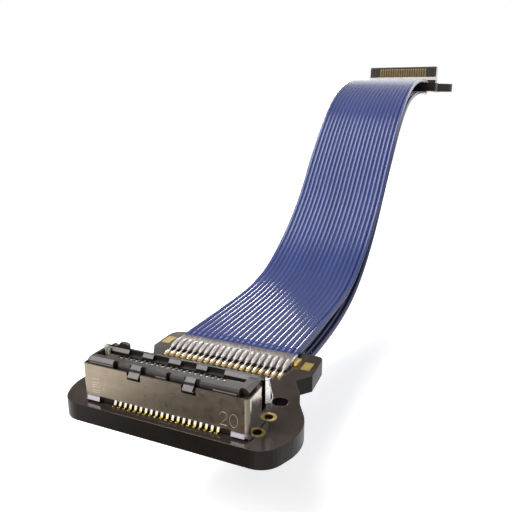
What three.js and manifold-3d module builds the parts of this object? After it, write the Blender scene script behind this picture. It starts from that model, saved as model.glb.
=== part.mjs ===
// Ribbon cable assembly, in millimetres, +Z up.
// Two small circuit boards with board-to-board connectors are joined by two flat ribbons of
// coax wires, one above the boards and one below. The ribbons rise from the near board to the
// far board in an S. The origin is on the underside of the near board, below the middle of its
// connector. X runs along the contact rows and +Y from the near board to the far one.

import * as THREE from 'three';
import { mergeVertices } from 'three/addons/utils/BufferGeometryUtils.js';
import Module from 'manifold-3d';

const wasm = await Module();
wasm.setup();

// Boards
const boardThickness = 1.6;
const boardFrontMargin = 0.8;      // board in front of the shield
const lobeOverhang = 3.5;          // corner of a lobe beyond the shield, right
const lobeOverhangLeft = 3.35;
const tabRear = 13.98;             // rear edge, from the middle of the connector
const earOverhang = 2.19;          // ear beyond the ribbon's width, right
const earOverhangLeft = 2.17;
const arcTolerance = 0.008;
const holeX = 7.45;                // bare and plated holes, either side
const mountHoleRadius = 0.69;
const mountHoleY = 4.55;
const platedHoleRadius = 0.39;
const platedHoleFrontY = -0.28;
const platedHoleRearY = 2.03;
const holeSegments = 20;

// Contacts
const contactCount = 20;
const contactPitch = 0.5;
const contactWidth = 0.22;
const contactMetal = 0.12;
const contactSlotClearance = 0.04; // on each side of a contact
const tailReach = 0.1;             // foot beyond the shield's front face
const solderGap = 0.02;

// Housing of the near connector
const endBlockLeft = 2.6;          // plastic beyond the contact row
const endBlockRight = 2.4;
const housingHalfDepth = 1.4;
const housingStandoff = 0.08;
const trough = { front: -0.2, rear: 0.75, floor: 1.9 };
const lipRise = 0.47;              // housing's top above the shield's top edge
const lipChamfer = { width: 0.1, height: 0.17 };
const wideChamfer = { width: 0.31, height: 0.26 };
const rearChamfer = 0.25;
const stepDepth = 0.1;             // lower step in front of the lip
const stepRise = 0.07;             // its top above the shield's top edge
const toothGapDrop = 0.45;
const latchPocket = { front: -0.7, depth: 1.0, width: 1.07 };

// Shield of the near connector
const shieldWall = 0.15;
const shieldClearance = 0.15;
const shieldHeight = 3.43;         // top edge above the board
const shieldTabWidth = 1.5;
const shieldStandoff = 0.08;       // side walls above the board
const tabStandoff = 0.2;           // tabs above the board
const tabFlare = 0.1;
const shieldWindowHeight = 0.66;   // opening for the tails, above the board
const shieldCornerRight = 0.38;
const shieldCornerLeft = 0.26;
const sideWallRear = 0.58;         // rear edge of the right side wall
const footRear = 1.9;              // lower foot of the right side wall
const footHeight = 1.12;
const springBulge = 0.47;          // spring arm beyond the side wall
const springRoot = 1.45;           // where its slot begins, above the board
const springSlot = 0.18;
const notchWidth = 1.27;
const notchDepth = 0.61;
const notchRightEdges = [-1.98, 3.03];
const hookWidth = 1.0;
const hookInset = 0.15;            // hook from the notch's right edge
const hookReach = 0.13;            // hook in front of the shield

// Forked latch at the left end
const latchX = -6.9;
const latchY = 0.47;
const latchHeight = 4.38;
const latchThickness = 0.15;
const prongSpacing = 0.28;
const arrowHalf = 0.2;

// Wires, ground bars and ribbons
const wireCount = 20;
const wirePitch = 0.635;
const wireDiameter = 0.6;
const ribbonOffset = -0.24;        // ribbon's middle from the connector's middle
const barFront = 10.83;
const barDepth = 1.79;
const barHeight = 0.46;
const barMargin = 0.02;
const braidDiameter = 0.56;
const coreDiameter = 0.24;
const braidFront = 9.75;
const coreFront = 8.55;
const ribbonGap = 0.3;

// Far end, turned half round about Z
const farX = 0.284;
const farY = 97.05;
const farZ = 27.55;
const farEndBlock = 2.25;
const farHalfDepth = 1.3;
const farHeight = 3.65;
const farTabThickness = 0.25;
const farTabHalfDepth = 0.75;

// Values that follow from those above
const boardTop = boardThickness;
const rowHalf = contactPitch * (contactCount - 1) / 2;
const housingHeight = shieldHeight + lipRise;
const housingLeft = -rowHalf - endBlockLeft;
const housingRight = rowHalf + endBlockRight;
const shieldLeft = housingLeft - shieldClearance - shieldWall;
const shieldRight = housingRight + shieldClearance + shieldWall;
const shieldHalfDepth = housingHalfDepth + shieldClearance + shieldWall;
const slotWidth = contactWidth + 2 * contactSlotClearance;
const wireHalf = wirePitch * (wireCount - 1) / 2;
const ribbonHalf = wireHalf + wireDiameter / 2;
const barRear = barFront + barDepth;

function solid(geometry) {
  const plain = geometry.clone();
  plain.deleteAttribute('normal');
  plain.deleteAttribute('uv');
  const merged = mergeVertices(plain, 1e-5);
  const mesh = new wasm.Mesh({
    numProp: 3,
    vertProperties: new Float32Array(merged.attributes.position.array),
    triVerts: new Uint32Array(merged.index.array),
  });
  mesh.merge();
  return new wasm.Manifold(mesh);
}

function geometryOf(manifold) {
  const mesh = manifold.getMesh();
  const geometry = new THREE.BufferGeometry();
  geometry.setAttribute('position', new THREE.BufferAttribute(new Float32Array(mesh.vertProperties), 3));
  geometry.setIndex(new THREE.BufferAttribute(new Uint32Array(mesh.triVerts), 1));
  geometry.computeVertexNormals();
  return geometry;
}

function join(solids) {
  return solids.reduce((whole, next) => whole.add(next));
}

function cut(body, tools) {
  return tools.length ? body.subtract(join(tools)) : body;
}

function box(x0, x1, y0, y1, z0, z1) {
  const geometry = new THREE.BoxGeometry(x1 - x0, y1 - y0, z1 - z0);
  geometry.translate((x0 + x1) / 2, (y0 + y1) / 2, (z0 + z1) / 2);
  return solid(geometry);
}

function shapeOf(points) {
  return new THREE.Shape(points.map(([a, b]) => new THREE.Vector2(a, b)));
}

// A profile drawn in Y and Z, drawn out along X.
function alongX(shape, x0, x1) {
  const geometry = new THREE.ExtrudeGeometry(shape, { depth: x1 - x0, bevelEnabled: false });
  const turn = new THREE.Matrix4().makeBasis(
    new THREE.Vector3(0, 1, 0), new THREE.Vector3(0, 0, 1), new THREE.Vector3(1, 0, 0));
  geometry.applyMatrix4(turn);
  geometry.translate(x0, 0, 0);
  return solid(geometry);
}

// A profile drawn in X and Z, drawn out along Y.
function alongY(shape, y0, y1) {
  const geometry = new THREE.ExtrudeGeometry(shape, { depth: y1 - y0, bevelEnabled: false });
  const turn = new THREE.Matrix4().makeBasis(
    new THREE.Vector3(1, 0, 0), new THREE.Vector3(0, 0, 1), new THREE.Vector3(0, -1, 0));
  geometry.applyMatrix4(turn);
  geometry.translate(0, y1, 0);
  return solid(geometry);
}

// A plan outline, drawn up along Z.
function alongZ(shape, z0, z1, curveSegments = 6) {
  const geometry = new THREE.ExtrudeGeometry(shape, { depth: z1 - z0, bevelEnabled: false, curveSegments });
  geometry.translate(0, 0, z0);
  return solid(geometry);
}

// A closed outline through corners [x, y, radius], each rounded by an arc.
function roundedOutline(corners) {
  const shape = new THREE.Shape();
  const count = corners.length;
  corners.forEach(([x, y, radius], i) => {
    const here = new THREE.Vector2(x, y);
    const before = new THREE.Vector2(...corners[(i + count - 1) % count].slice(0, 2)).sub(here).normalize();
    const after = new THREE.Vector2(...corners[(i + 1) % count].slice(0, 2)).sub(here).normalize();
    const half = Math.acos(THREE.MathUtils.clamp(before.dot(after), -1, 1)) / 2;
    const reach = radius / Math.tan(half);
    const start = here.clone().addScaledVector(before, reach);
    const end = here.clone().addScaledVector(after, reach);
    const toCentre = before.clone().add(after).normalize();
    const centre = here.clone().addScaledVector(toCentre, radius / Math.sin(half));
    if (i === 0) {
      shape.moveTo(start.x, start.y);
    } else {
      shape.lineTo(start.x, start.y);
    }
    const a0 = Math.atan2(start.y - centre.y, start.x - centre.x);
    const sweep = (Math.PI - 2 * half) * Math.sign(before.y * after.x - before.x * after.y);
    const steps = Math.ceil(Math.abs(sweep) / (2 * Math.acos(1 - Math.min(arcTolerance / radius, 0.5))));
    for (let k = 1; k <= steps; k++) {
      const a = a0 + sweep * k / steps;
      shape.lineTo(centre.x + radius * Math.cos(a), centre.y + radius * Math.sin(a));
    }
  });
  shape.closePath();
  return shape;
}

// A bent strip of sheet metal: a centre line and a thickness, mitred at the bends.
function stripShape(points, thickness) {
  const line = points.map(([a, b]) => new THREE.Vector2(a, b));
  const left = [];
  const right = [];
  line.forEach((point, i) => {
    const before = line[Math.max(i - 1, 0)];
    const after = line[Math.min(i + 1, line.length - 1)];
    const d0 = point.clone().sub(before);
    const d1 = after.clone().sub(point);
    const t0 = (i === 0 ? d1 : d0).clone().normalize();
    const t1 = (i === line.length - 1 ? d0 : d1).clone().normalize();
    const normal = new THREE.Vector2(-(t0.y + t1.y), t0.x + t1.x).normalize();
    const width = thickness / 2 / Math.max(normal.dot(new THREE.Vector2(-t0.y, t0.x)), 0.5);
    left.push(point.clone().addScaledVector(normal, width));
    right.push(point.clone().addScaledVector(normal, -width));
  });
  return new THREE.Shape([...left, ...right.reverse()]);
}

function cylinder(x, y, radius, z0, z1, segments = holeSegments) {
  const geometry = new THREE.CylinderGeometry(radius, radius, z1 - z0, segments);
  geometry.rotateX(Math.PI / 2);
  geometry.translate(x, y, (z0 + z1) / 2);
  return solid(geometry);
}

function contactX(i) {
  return (i - (contactCount - 1) / 2) * contactPitch;
}

function wireX(i) {
  return ribbonOffset + (i - (wireCount - 1) / 2) * wirePitch;
}

// ---- Board: two lobes, a neck and a rear tab with ears, in plan ----
function boardSolid() {
  const front = -(shieldHalfDepth + boardFrontMargin);
  const earRight = ribbonHalf + earOverhang;
  const earLeft = -ribbonHalf - earOverhangLeft;
  const outline = roundedOutline([
    [shieldRight + lobeOverhang / 2, front, 2.1],
    [shieldRight + lobeOverhang, 1.6, 4.4],
    [shieldRight + 1.6, 4.9, 1.2],
    [shieldRight + 1.1, 6.4, 1.0],
    [shieldRight - 0.1, 8.4, 0.4],
    [earRight, 9.9, 0.15],
    [earRight - 0.17, tabRear, 0.7],
    [earLeft - 0.03, tabRear - 0.08, 1.3],
    [earLeft, 9.75, 0.3],
    [shieldLeft + 0.15, 8.1, 0.3],
    [shieldLeft - 1.55, 4.6, 1.2],
    [shieldLeft - lobeOverhangLeft, 1.0, 4.4],
    [shieldLeft - lobeOverhangLeft / 2, front, 2.0],
  ]);
  const body = alongZ(outline, 0, boardThickness);
  const holes = [];
  for (const side of [-1, 1]) {
    holes.push(cylinder(side * holeX, mountHoleY, mountHoleRadius, -1, boardThickness + 1));
    for (const y of [platedHoleFrontY, platedHoleRearY]) {
      holes.push(cylinder(side * holeX, y, platedHoleRadius, -1, boardThickness + 1, 14));
    }
  }
  return cut(body, holes);
}

// ---- Near connector ----

// One front contact: a blade in the housing's window, a run under the wall, a gull-wing tail.
function nearContactShape(side) {
  const foot = shieldHalfDepth + tailReach - contactMetal;
  const top = housingHeight - 0.2;
  const run = shieldWindowHeight - contactMetal / 2 - 0.05;
  const blade = -trough.front + 0.22;
  return stripShape([
    [side * blade, boardTop + top],
    [side * blade, boardTop + run],
    [side * (housingHalfDepth - 0.1), boardTop + run],
    [side * (housingHalfDepth + 0.12), boardTop + solderGap + contactMetal / 2],
    [side * (foot + contactMetal), boardTop + solderGap + contactMetal / 2],
  ], contactMetal);
}

// The hidden rear row shows only its tails, which stay part of the moulding.
function rearTailShape() {
  const level = boardTop + housingStandoff + 0.3;
  return stripShape([
    [housingHalfDepth - 0.4, level],
    [housingHalfDepth - 0.05, level],
    [housingHalfDepth + 0.12, boardTop + solderGap + contactMetal / 2],
    [shieldHalfDepth + tailReach, boardTop + solderGap + contactMetal / 2],
  ], contactMetal);
}

// The moulding's cross-section: rib with a chamfered lip in front, trough, toothed rear wall.
function nearHousingSection() {
  const top = boardTop + housingHeight;
  const bottom = boardTop + housingStandoff;
  return shapeOf([
    [-housingHalfDepth, bottom],
    [housingHalfDepth, bottom],
    [housingHalfDepth, top - 0.1],
    [housingHalfDepth - 0.1, top],
    [trough.rear + rearChamfer, top],
    [trough.rear, top - rearChamfer],
    [trough.rear, boardTop + trough.floor],
    [trough.front, boardTop + trough.floor],
    [trough.front, top],
    [-housingHalfDepth + lipChamfer.width, top],
    [-housingHalfDepth, top - lipChamfer.height],
  ]);
}

// Stretches of X, from the contact row's middle, where the lips and teeth are cut back.
const lipGaps = [[-4.75, -4.26], [-2.12, -1.62], [0.25, 0.6], [2.76, 3.2]];
const toothGaps = [[-4.84, -3.45], [-2.42, -0.92], [0.2, 1.65], [2.62, 4.17]];

function nearHousingSolid() {
  const top = boardTop + housingHeight;
  const bottom = boardTop + housingStandoff;
  const rim = boardTop + shieldHeight;
  const front = -housingHalfDepth;
  let body = alongX(nearHousingSection(), housingLeft, housingRight);

  // End blocks close the trough.
  const troughLeft = housingLeft + 0.75;
  const troughRight = housingRight - 0.85;
  const blocks = [
    box(housingLeft, troughLeft, front + 0.4, trough.rear + 0.05, bottom, top - 0.05),
    box(troughRight, housingRight, front + 0.4, housingHalfDepth - 0.2, bottom, top - 0.05),
  ];
  // Knobs on the rear left block.
  const knob = (x0, x1, rise) => alongY(shapeOf([
    [x0, top - 0.2], [x1, top - 0.2], [x1, top + rise - 0.12], [x1 - 0.22, top + rise],
    [x0 + 0.3, top + rise], [x0, top + 0.02],
  ]), housingHalfDepth - 0.38, housingHalfDepth - 0.02);
  blocks.push(knob(housingLeft + 0.4, housingLeft + 1.1, 0.22));
  blocks.push(knob(housingLeft + 1.2, housingLeft + 2.3, 0.48));
  // Lower step in front of the lip, along the left block, one middle stretch and the right block.
  const steps = [[housingLeft + 0.1, lipGaps[0][0]], [-0.75, lipGaps[2][0]], [4.3, housingRight - 0.8]];
  for (const [x0, x1] of steps) {
    blocks.push(box(x0, x1, front - stepDepth, front + 0.1, rim - 0.3, rim + stepRise));
  }
  // Hooks that snap into the shield's notches: wedges that lean out to their lower edge.
  for (const edge of notchRightEdges) {
    const right = edge - hookInset;
    const reach = -shieldHalfDepth - hookReach;
    blocks.push(alongX(shapeOf([
      [front + 0.2, rim - notchDepth + 0.15], [front + 0.2, rim + 0.02], [front - stepDepth, rim + 0.02],
      [reach, rim - notchDepth + 0.3], [reach, rim - notchDepth + 0.22], [front, rim - notchDepth + 0.15],
    ]), right - hookWidth, right));
  }
  body = join([body, ...blocks]);

  const tools = [];
  // The left block and the stretches above the hooks have a wider chamfer.
  const slope = wideChamfer.height / wideChamfer.width;
  const bevel = shapeOf([
    [front - 1, top - wideChamfer.height - slope], [front + wideChamfer.width, top],
    [front + wideChamfer.width, top + 1], [front - 1, top + 1],
  ]);
  const wide = notchRightEdges.map((edge) => [edge - hookInset - hookWidth - 0.03, edge - hookInset]);
  for (const [x0, x1] of [[housingLeft - 1, lipGaps[0][0] - 0.05], ...wide]) {
    tools.push(alongX(bevel, x0, x1));
  }
  // Gaps between the front lips and between the rear teeth.
  for (const [x0, x1] of lipGaps) {
    tools.push(box(x0, x1, front - 1, front + 0.32, rim - 0.3, top + 1));
  }
  for (const [x0, x1] of toothGaps) {
    tools.push(box(x0, x1, trough.rear - 0.1, trough.rear + 0.35, top - toothGapDrop, top + 1));
  }
  // Notch at the front right corner and slope of the rear right corner.
  tools.push(box(housingRight - 0.65, housingRight + 1, front - 1, front + 0.42, rim - 0.2, top + 1));
  tools.push(alongX(shapeOf([
    [housingHalfDepth + 0.3, top - 1.2], [housingHalfDepth + 0.3, top + 1], [trough.rear + 0.3, top + 1],
  ]), troughRight + 0.3, housingRight + 1));
  // Chamfers along both ends.
  tools.push(alongY(shapeOf([
    [housingRight - 0.3, top + 0.01], [housingRight + 0.1, top + 0.01], [housingRight + 0.1, top - 0.4],
  ]), -2, 2));
  tools.push(alongY(shapeOf([
    [housingLeft + 0.1, top + 0.01], [housingLeft - 0.1, top + 0.01], [housingLeft - 0.1, top - 0.2],
  ]), -2, trough.rear + 0.06));
  // Slot for the forked latch and the pocket in front of its prongs.
  tools.push(box(latchX - 0.15, latchX + 0.5, latchY - 0.15, latchY + 0.15, boardTop + 1.5, top + 1));
  tools.push(box(latchX - 0.15, latchX - 0.15 + latchPocket.width, latchPocket.front, latchY + 0.15,
    top - latchPocket.depth, top + 1));
  // One slot a contact: open to the trough, down to the run of the tail.
  const slotBack = -trough.front + 0.22 + contactMetal / 2 + contactSlotClearance;
  const slot = shapeOf([
    [-slotBack, top + 1],
    [-slotBack, boardTop + shieldWindowHeight],
    [-housingHalfDepth - 0.5, boardTop + shieldWindowHeight],
    [-housingHalfDepth - 0.5, bottom - 0.5],
    [trough.front + 0.01, bottom - 0.5],
    [trough.front + 0.01, top + 1],
  ]);
  for (let i = 0; i < contactCount; i++) {
    tools.push(alongX(slot, contactX(i) - slotWidth / 2, contactX(i) + slotWidth / 2));
  }
  body = cut(body, tools);

  const tails = [];
  for (let i = 0; i < contactCount; i++) {
    const x = contactX(i);
    tails.push(alongX(rearTailShape(), x - contactWidth / 2, x + contactWidth / 2));
  }
  return join([body, ...tails]);
}

function nearShieldSolid() {
  const z0 = boardTop + shieldStandoff;
  const z1 = boardTop + shieldHeight;
  const y = shieldHalfDepth;
  const w = shieldWall;
  const wallOutline = (inset) => roundedOutline([
    [shieldRight - inset, -y + inset, shieldCornerRight - inset],
    [shieldRight - inset, y - inset, shieldCornerRight - inset],
    [shieldLeft + inset, y - inset, shieldCornerLeft - inset],
    [shieldLeft + inset, -y + inset, shieldCornerLeft - inset],
  ]);
  let body = alongZ(wallOutline(0), z0, z1).subtract(alongZ(wallOutline(w), z0 - 1, z1 + 1));

  // The shell is open behind the right side wall, above its foot.
  const footTop = z0 + footHeight;
  const slotRight = shieldRight - 0.05;
  const tools = [
    box(shieldRight - w - 0.3, shieldRight + 1, sideWallRear, y - w, footTop, z1 + 1),
    box(slotRight - springSlot, shieldRight + 1, y - w - 0.5, y + 1, boardTop + springRoot, z1 + 1),
  ];
  // Openings for the tails leave a tab at each end, front and rear, a little above the board.
  for (const side of [-1, 1]) {
    const y0 = Math.min(side * (y + 1), side * (y - w - 0.2));
    const y1 = Math.max(side * (y + 1), side * (y - w - 0.2));
    tools.push(box(shieldLeft + shieldTabWidth, shieldRight - shieldTabWidth, y0, y1,
      z0 - 1, boardTop + shieldWindowHeight));
  }
  tools.push(box(shieldLeft + w, shieldRight - w, -y - 1, -y + w + 0.2, z0 - 1, boardTop + tabStandoff));
  // Notches for the housing's hooks.
  for (const right of notchRightEdges) {
    tools.push(box(right - notchWidth, right, -y - 1, -y + w + 0.1, z1 - notchDepth, z1 + 1));
  }
  body = cut(body, tools);

  // The front tabs flare out a little at their ends.
  const flare = shapeOf([
    [-y + w, boardTop + tabStandoff], [-y + w, boardTop + tabStandoff + 0.35],
    [-y, boardTop + tabStandoff + 0.35], [-y - tabFlare, boardTop + tabStandoff],
  ]);
  const flares = [
    alongX(flare, shieldLeft + shieldCornerLeft, shieldLeft + shieldTabWidth),
    alongX(flare, shieldRight - shieldTabWidth, shieldRight - shieldCornerRight),
  ];
  // Foot of the right side wall, which runs on behind the shell.
  const foot = box(shieldRight - w, shieldRight, sideWallRear - 0.2, footRear, z0, footTop);
  // Bowed spring arm, cut free of the rear wall by a slot and hooked at its top.
  const root = boardTop + springRoot;
  const tip = root + 2.05;
  const arm = new THREE.Shape();
  arm.moveTo(slotRight - springSlot - 0.1, root - 0.6);
  arm.lineTo(shieldRight, root - 0.6);
  arm.splineThru([
    [shieldRight + springBulge * 0.1, root - 0.05], [shieldRight + springBulge * 0.6, root + 0.27],
    [shieldRight + springBulge, root + 0.72], [shieldRight + springBulge * 0.72, root + 1.25],
    [shieldRight + springBulge * 0.36, tip],
  ].map(([a, b]) => new THREE.Vector2(a, b)));
  for (const [a, b] of [
    [shieldRight + springBulge * 0.4, tip + 0.1], [shieldRight + springBulge * 0.72, tip + 0.2],
    [shieldRight + springBulge * 0.72, tip + 0.34], [shieldRight + 0.1, tip + 0.36],
    [slotRight, tip + 0.2], [slotRight, root], [slotRight - springSlot - 0.1, root],
  ]) {
    arm.lineTo(a, b);
  }
  arm.closePath();
  return join([body, foot, alongY(arm, y - w, y), ...flares]);
}

// A fork whose two prongs stand up through the housing's left end.
function nearLatchSolid() {
  const floor = boardTop + 1.5 + 0.03;
  const top = boardTop + latchHeight;
  const t = latchThickness / 2;
  const second = latchX + prongSpacing;
  return alongY(shapeOf([
    [latchX - t, floor], [second + t, floor], [second + t, top - 0.5], [second + t * 0.4, top - 0.41],
    [second - t, top - 0.48], [second - t, top - 1.5], [latchX + t, top - 1.5], [latchX + t, top - 0.32],
    [latchX + arrowHalf, top - 0.26], [latchX + t * 0.6, top], [latchX - t * 0.6, top],
    [latchX - arrowHalf, top - 0.26], [latchX - t, top - 0.32],
  ]), latchY - 0.1, latchY + 0.1);
}

// ---- Ground bar with the stripped wire ends soldered to it; side is 1 above, -1 below ----
function groundBarSolid(side) {
  const face = side > 0 ? boardTop : 0;
  const level = (h) => face + side * h;
  const wireLevel = level(solderGap + wireDiameter / 2);
  const coreLevel = level(solderGap + coreDiameter / 2);
  const low = Math.min(level(solderGap), level(barHeight));
  const high = Math.max(level(solderGap), level(barHeight));
  const half = ribbonHalf + barMargin;
  const pieces = [box(ribbonOffset - half, ribbonOffset + half, barFront, barRear, low, high)];
  // Each braid narrows and slopes from the bar down to its bare core.
  const neck = 0.03;
  const fall = (wireLevel - coreLevel - side * neck) / (barFront - braidFront);
  const slant = new THREE.Matrix4().makeShear(0, 0, 0, fall, 0, 0);
  for (let i = 0; i < wireCount; i++) {
    const braid = new THREE.LatheGeometry([
      [0, braidFront], [coreDiameter / 2 + neck, braidFront],
      [braidDiameter / 2, barFront], [braidDiameter / 2, barFront + 0.2], [0, barFront + 0.2],
    ].map(([a, b]) => new THREE.Vector2(a, b - barFront)), 6);
    braid.applyMatrix4(slant);
    braid.translate(wireX(i), barFront, wireLevel);
    const core = new THREE.BoxGeometry(coreDiameter, braidFront - coreFront + 0.1, coreDiameter);
    core.translate(wireX(i), (braidFront + coreFront + 0.1) / 2, coreLevel);
    pieces.push(solid(braid), solid(core));
  }
  return join(pieces);
}

// ---- Far connector: the same family, without shield, its contacts bare on the long sides ----
function farContactShape(side) {
  const wall = side * (farHalfDepth - contactMetal / 2);
  return stripShape([
    [wall, boardTop + farHeight - 0.42],
    [wall, boardTop + 0.45],
    [side * (farHalfDepth + 0.12), boardTop + solderGap + contactMetal / 2],
    [side * (farHalfDepth + 0.5), boardTop + solderGap + contactMetal / 2],
  ], contactMetal);
}

function farHousingSolid() {
  const top = boardTop + farHeight;
  const bottom = boardTop + housingStandoff;
  const section = shapeOf([
    [-farHalfDepth, bottom], [farHalfDepth, bottom],
    [farHalfDepth, top - 0.1], [farHalfDepth - 0.1, top],
    [trough.rear, top], [trough.rear, boardTop + trough.floor],
    [trough.front, boardTop + trough.floor], [trough.front, top],
    [-farHalfDepth + 0.1, top], [-farHalfDepth, top - 0.1],
  ]);
  const end = rowHalf + farEndBlock;
  const blocks = [-1, 1].map((side) => {
    const inner = side * (rowHalf + 0.9);
    const outer = side * end;
    return box(Math.min(inner, outer), Math.max(inner, outer), -farHalfDepth + 0.3, farHalfDepth - 0.3,
      bottom, top - 0.1);
  });
  const tools = [];
  const depth = contactMetal + contactSlotClearance;
  for (let i = 0; i < contactCount; i++) {
    const x = contactX(i);
    for (const side of [-1, 1]) {
      const inner = side * (farHalfDepth - depth);
      const outer = side * (farHalfDepth + 1);
      tools.push(box(x - slotWidth / 2, x + slotWidth / 2, Math.min(inner, outer), Math.max(inner, outer),
        bottom - 1, top - 0.4));
    }
  }
  const body = cut(join([alongX(section, -end, end), ...blocks]), tools);
  // The hidden row is pressed into its grooves.
  const hidden = [];
  for (let i = 0; i < contactCount; i++) {
    const x = contactX(i);
    const press = box(x - contactWidth / 2, x + contactWidth / 2, -farHalfDepth + contactMetal / 2,
      -farHalfDepth + depth + 0.1, boardTop + 1, boardTop + 2);
    hidden.push(alongX(farContactShape(-1), x - contactWidth / 2, x + contactWidth / 2), press);
  }
  return join([body, ...hidden]);
}

function farTabSolid(side) {
  const inner = side * (rowHalf + farEndBlock + 0.03);
  const outer = inner + side * farTabThickness;
  const x0 = Math.min(inner, outer);
  const x1 = Math.max(inner, outer);
  const upright = box(x0, x1, -farTabHalfDepth, farTabHalfDepth, boardTop + solderGap, boardTop + farHeight - 0.15);
  const toe = side > 0
    ? box(x0, x1 + 0.5, -farTabHalfDepth, farTabHalfDepth, boardTop + solderGap, boardTop + solderGap + 0.2)
    : box(x0 - 0.5, x1, -farTabHalfDepth, farTabHalfDepth, boardTop + solderGap, boardTop + solderGap + 0.2);
  return upright.add(toe);
}

// ---- Ribbons ----

// The ribbon stays level across its width, whatever its route does.
class LevelPath extends THREE.CatmullRomCurve3 {
  computeFrenetFrames(segments) {
    const frames = { tangents: [], normals: [], binormals: [] };
    for (let i = 0; i <= segments; i++) {
      const tangent = this.getTangentAt(i / segments);
      const across = new THREE.Vector3(1, 0, 0);
      frames.tangents.push(tangent);
      frames.normals.push(across);
      frames.binormals.push(new THREE.Vector3().crossVectors(tangent, across).normalize());
    }
    return frames;
  }
}

// Routes of the ribbons' middle lines between the two ends, hand-chosen.
const topRoute = [
  [-0.18, 17.0, 1.93], [-0.1, 21.7, 1.98], [-0.02, 26.2, 2.1], [0.04, 30.2, 2.45], [0.1, 34.0, 3.35],
  [0.18, 38.9, 5.65], [0.24, 43.0, 8.3], [0.3, 46.8, 11.4], [0.34, 50.0, 14.75], [0.4, 53.3, 18.2],
  [0.45, 56.3, 21.1], [0.5, 59.3, 23.6], [0.52, 62.8, 25.75], [0.52, 66.5, 27.3], [0.52, 70.8, 28.45],
  [0.52, 75.5, 29.15], [0.52, 80.0, 29.42],
];
const bottomRoute = [
  [-0.18, 17.0, -0.38], [-0.1, 21.7, -0.42], [-0.02, 26.2, -0.2], [0.04, 29.5, 0.2], [0.1, 33.0, 0.98],
  [0.15, 36.4, 2.25], [0.19, 39.8, 4.1], [0.25, 43.6, 6.95], [0.3, 47.3, 10.45], [0.35, 50.7, 14.05],
  [0.4, 54.1, 17.55], [0.47, 57.7, 20.95], [0.52, 61.5, 23.6], [0.52, 65.6, 25.3], [0.52, 70.0, 26.35],
  [0.52, 75.2, 27.0], [0.52, 80.0, 27.22],
];

function ribbonGeometry(route, side) {
  const nearFace = side > 0 ? boardTop : 0;
  const centre = nearFace + side * (solderGap + wireDiameter / 2);
  const start = new THREE.Vector3(ribbonOffset, barRear + ribbonGap, centre);
  const end = new THREE.Vector3(farX - ribbonOffset, farY - barRear - ribbonGap, farZ + centre);
  const path = new LevelPath([start, ...route.map((p) => new THREE.Vector3(...p)), end], false, 'centripetal');
  const half = ribbonHalf;
  const r = wireDiameter / 2;
  const section = new THREE.Shape();
  section.moveTo(-half + r, -r);
  section.lineTo(half - r, -r);
  section.absarc(half - r, 0, r, -Math.PI / 2, Math.PI / 2, false);
  section.lineTo(-half + r, r);
  section.absarc(-half + r, 0, r, Math.PI / 2, Math.PI * 1.5, false);
  const geometry = new THREE.ExtrudeGeometry(section, {
    steps: 42, curveSegments: 2, bevelEnabled: false, extrudePath: path,
  });
  return geometryOf(solid(geometry));
}

// ---- Materials ----
const looks = {
  board: { color: '#4e4743', roughness: 0.35, metalness: 0.0 },
  plastic: { color: '#2b2a29', roughness: 0.5, metalness: 0.0 },
  shell: { color: '#9b8f80', roughness: 0.3, metalness: 0.9 },
  gold: { color: '#c8a04a', roughness: 0.3, metalness: 1.0 },
  silver: { color: '#c9c6c2', roughness: 0.3, metalness: 1.0 },
  bar: { color: '#9d958b', roughness: 0.4, metalness: 0.8 },
  jacket: { color: '#3a4f9c', roughness: 0.35, metalness: 0.0 },
};

function piece(name, geometry, look) {
  const mesh = new THREE.Mesh(geometry, new THREE.MeshStandardMaterial(looks[look]));
  mesh.name = name;
  return mesh;
}

const two = (n) => String(n).padStart(2, '0');

// ---- Assembly ----
const assembly = new THREE.Group();
const nearEnd = new THREE.Group();
const farEnd = new THREE.Group();
farEnd.position.set(farX, farY, farZ);
farEnd.rotation.z = Math.PI;

nearEnd.add(piece('near_board', geometryOf(boardSolid()), 'board'));
nearEnd.add(piece('near_housing', geometryOf(nearHousingSolid()), 'plastic'));
nearEnd.add(piece('near_shield', geometryOf(nearShieldSolid()), 'shell'));
nearEnd.add(piece('near_latch', geometryOf(nearLatchSolid()), 'silver'));
for (let i = 0; i < contactCount; i++) {
  const x = contactX(i);
  const contact = alongX(nearContactShape(-1), x - contactWidth / 2, x + contactWidth / 2);
  nearEnd.add(piece(`near_contact_${two(i + 1)}`, geometryOf(contact), 'gold'));
}
nearEnd.add(piece('near_ground_bar_top', geometryOf(groundBarSolid(1)), 'bar'));
nearEnd.add(piece('near_ground_bar_bottom', geometryOf(groundBarSolid(-1)), 'bar'));

farEnd.add(piece('far_board', geometryOf(boardSolid()), 'board'));
farEnd.add(piece('far_housing', geometryOf(farHousingSolid()), 'plastic'));
farEnd.add(piece('far_tab_left', geometryOf(farTabSolid(-1)), 'silver'));
farEnd.add(piece('far_tab_right', geometryOf(farTabSolid(1)), 'silver'));
for (let i = 0; i < contactCount; i++) {
  const x = contactX(i);
  const contact = alongX(farContactShape(1), x - contactWidth / 2, x + contactWidth / 2);
  farEnd.add(piece(`far_contact_${two(i + 1)}`, geometryOf(contact), 'gold'));
}
farEnd.add(piece('far_ground_bar_top', geometryOf(groundBarSolid(1)), 'bar'));
farEnd.add(piece('far_ground_bar_bottom', geometryOf(groundBarSolid(-1)), 'bar'));

assembly.add(nearEnd, farEnd);
assembly.add(piece('top_ribbon', ribbonGeometry(topRoute, 1), 'jacket'));
assembly.add(piece('bottom_ribbon', ribbonGeometry(bottomRoute, -1), 'jacket'));

export default assembly;
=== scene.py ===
"""Dresses the ribbon cable assembly: coax ribbons, stripped ends, pads, plating and surfaces."""

import math

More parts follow.
